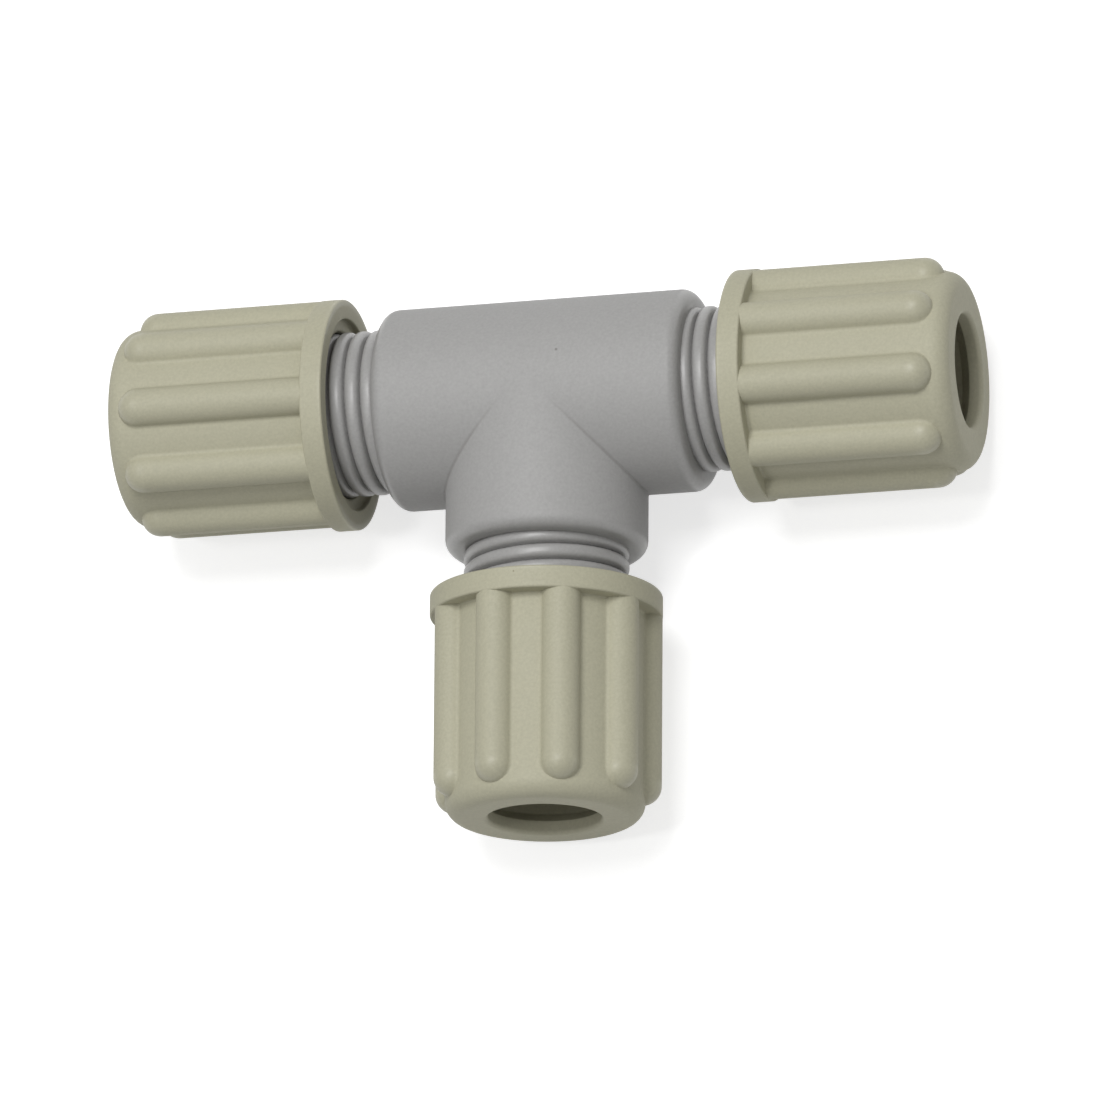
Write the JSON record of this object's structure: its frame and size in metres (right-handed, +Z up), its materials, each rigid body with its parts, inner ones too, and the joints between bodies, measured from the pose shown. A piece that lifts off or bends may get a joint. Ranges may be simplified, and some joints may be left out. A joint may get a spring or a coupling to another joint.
{
  "type": "hose tee fitting",
  "caption": "Grey moulded hose tee with threaded arms, barbed spigots inside, split grip rings and ribbed union nuts that screw onto the arms.",
  "frame": {"origin": "where the axes of the run and the branch cross, in the middle of the tee body", "axes": "+X along the run towards the right nut, -Y along the branch, +Z up with the tee lying on the collars of its nuts"},
  "size_m": [0.0934, 0.0592, 0.025],
  "materials": {
    "body_plastic": "satin moulded polypropylene, cool grey",
    "nut_plastic": "satin moulded polypropylene, olive beige",
    "ring_plastic": "satin moulded acetal, natural white"
  },
  "bodies": {
    "tee": {"tee_body": "body_plastic"},
    "left_ring": {"left_grip_ring": "ring_plastic"},
    "right_ring": {"right_grip_ring": "ring_plastic"},
    "branch_ring": {"branch_grip_ring": "ring_plastic"},
    "left_union": {"left_nut": "nut_plastic"},
    "right_union": {"right_nut": "nut_plastic"},
    "branch_union": {"branch_nut": "nut_plastic"}
  },
  "joints": [
    {"name": "left_advance", "type": "slide", "parent": "tee", "child": "left_ring", "axis": [-1, 0, 0], "range_m": [-0.005, 0.0062]},
    {"name": "left_screw", "type": "hinge", "parent": "left_ring", "child": "left_union", "pos_m": [-0.02187, 0, 0], "axis": [-1, 0, 0], "range_deg": [-1026, 1260]},
    {"name": "right_advance", "type": "slide", "parent": "tee", "child": "right_ring", "axis": [1, 0, 0], "range_m": [-0.005, 0.0062]},
    {"name": "right_screw", "type": "hinge", "parent": "right_ring", "child": "right_union", "pos_m": [0.02187, 0, 0], "axis": [1, 0, 0], "range_deg": [-1026, 1260]},
    {"name": "branch_advance", "type": "slide", "parent": "tee", "child": "branch_ring", "axis": [0, -1, 0], "range_m": [-0.005, 0.0062]},
    {"name": "branch_screw", "type": "hinge", "parent": "branch_ring", "child": "branch_union", "pos_m": [0, -0.02187, 0], "axis": [0, -1, 0], "range_deg": [-1026, 1260]}
  ],
  "couplings": [
    {"joint": "left_advance", "follows": "left_screw", "m_per_rad": 0.00027852},
    {"joint": "right_advance", "follows": "right_screw", "m_per_rad": 0.00027852},
    {"joint": "branch_advance", "follows": "branch_screw", "m_per_rad": 0.00027852}
  ]
}
